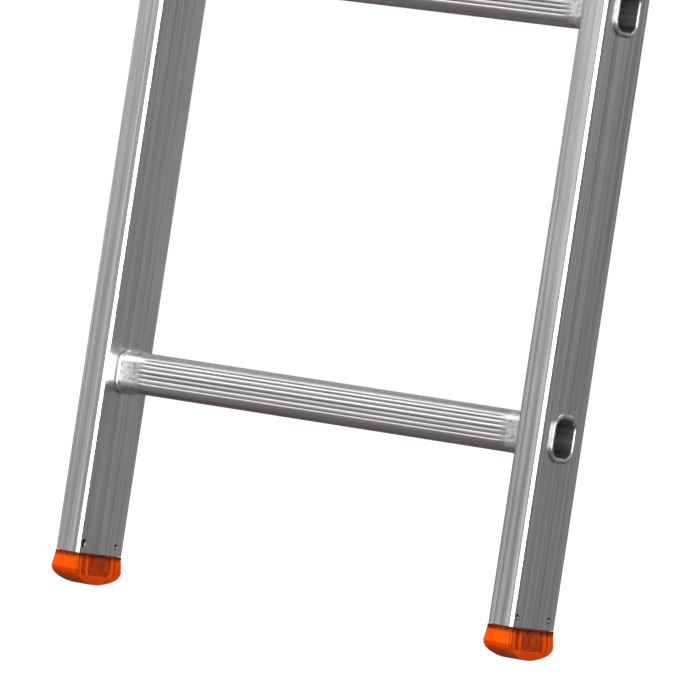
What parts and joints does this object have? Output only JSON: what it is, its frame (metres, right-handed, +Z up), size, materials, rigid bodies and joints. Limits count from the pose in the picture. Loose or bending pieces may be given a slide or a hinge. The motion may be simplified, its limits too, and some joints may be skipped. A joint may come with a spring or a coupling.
{
  "type": "extension ladder",
  "caption": "Push-up aluminium extension ladder: a narrower fly section slides up the front of the base section on steel guides, with sprung rung hooks and rounded plastic feet.",
  "frame": {"origin": "on the ground, midway between the rails and midway between the base section and the fly section", "axes": "+Z up along the rails, +Y from the climber's side to the back, +X to the right as the climber faces the ladder"},
  "size_m": [0.3936, 0.1172, 3.14],
  "materials": {
    "rail_aluminium": "drawn and lightly brushed along its length",
    "rung_aluminium": "drawn, fluted along its length",
    "orange_plastic": "moulded, satin",
    "zinc_steel": "zinc plated sheet",
    "glide_plastic": "moulded, low friction",
    "spring_steel": "bright drawn wire",
    "rivet_steel": "zinc plated, domed"
  },
  "bodies": {
    "base": {"base_rail_left": "rail_aluminium", "base_top_cap_left": "orange_plastic", "foot_left": "orange_plastic", "base_guide_left": "zinc_steel", "base_front_pad_left": "glide_plastic", "base_rear_pad_left": "glide_plastic", "base_guide_rivet_1_left": "rivet_steel", "base_guide_rivet_2_left": "rivet_steel", "base_rail_right": "rail_aluminium", "base_top_cap_right": "orange_plastic", "foot_right": "orange_plastic", "base_guide_right": "zinc_steel", "base_front_pad_right": "glide_plastic", "base_rear_pad_right": "glide_plastic", "base_guide_rivet_1_right": "rivet_steel", "base_guide_rivet_2_right": "rivet_steel", "base_rung_1": "rung_aluminium", "base_rung_2": "rung_aluminium", "base_rung_3": "rung_aluminium", "base_rung_4": "rung_aluminium", "base_rung_5": "rung_aluminium", "base_rung_6": "rung_aluminium", "base_rung_7": "rung_aluminium"},
    "fly": {"fly_rail_left": "rail_aluminium", "fly_top_cap_left": "orange_plastic", "fly_bottom_cap_left": "orange_plastic", "fly_guide_left": "zinc_steel", "fly_front_pad_left": "glide_plastic", "fly_rear_pad_left": "glide_plastic", "fly_guide_rivet_1_left": "rivet_steel", "fly_guide_rivet_2_left": "rivet_steel", "hook_bush_left": "glide_plastic", "hook_spring_left": "spring_steel", "hook_pivot_left": "rivet_steel", "fly_rail_right": "rail_aluminium", "fly_top_cap_right": "orange_plastic", "fly_bottom_cap_right": "orange_plastic", "fly_guide_right": "zinc_steel", "fly_front_pad_right": "glide_plastic", "fly_rear_pad_right": "glide_plastic", "fly_guide_rivet_1_right": "rivet_steel", "fly_guide_rivet_2_right": "rivet_steel", "hook_bush_right": "glide_plastic", "hook_spring_right": "spring_steel", "hook_pivot_right": "rivet_steel", "fly_rung_1": "rung_aluminium", "fly_rung_2": "rung_aluminium", "fly_rung_3": "rung_aluminium", "fly_rung_4": "rung_aluminium", "fly_rung_5": "rung_aluminium", "fly_rung_6": "rung_aluminium", "fly_rung_7": "rung_aluminium"},
    "hook_left": {"rung_hook_left": "zinc_steel"},
    "hook_right": {"rung_hook_right": "zinc_steel"}
  },
  "joints": [
    {"name": "fly_slide", "type": "slide", "parent": "base", "child": "fly", "axis": [0, 0, 1], "range_m": [-1.168, 0]},
    {"name": "hook_left_swing", "type": "hinge", "parent": "fly", "child": "hook_left", "pos_m": [-0.1357, -0.01, 1.34], "axis": [-1, 0, 0], "range_deg": [0, 70], "stiffness_Nm_per_rad": 0.15, "springref_deg": -28.65},
    {"name": "hook_right_swing", "type": "hinge", "parent": "fly", "child": "hook_right", "pos_m": [0.1357, -0.01, 1.34], "axis": [-1, 0, 0], "range_deg": [0, 70], "stiffness_Nm_per_rad": 0.15, "springref_deg": -28.65}
  ]
}
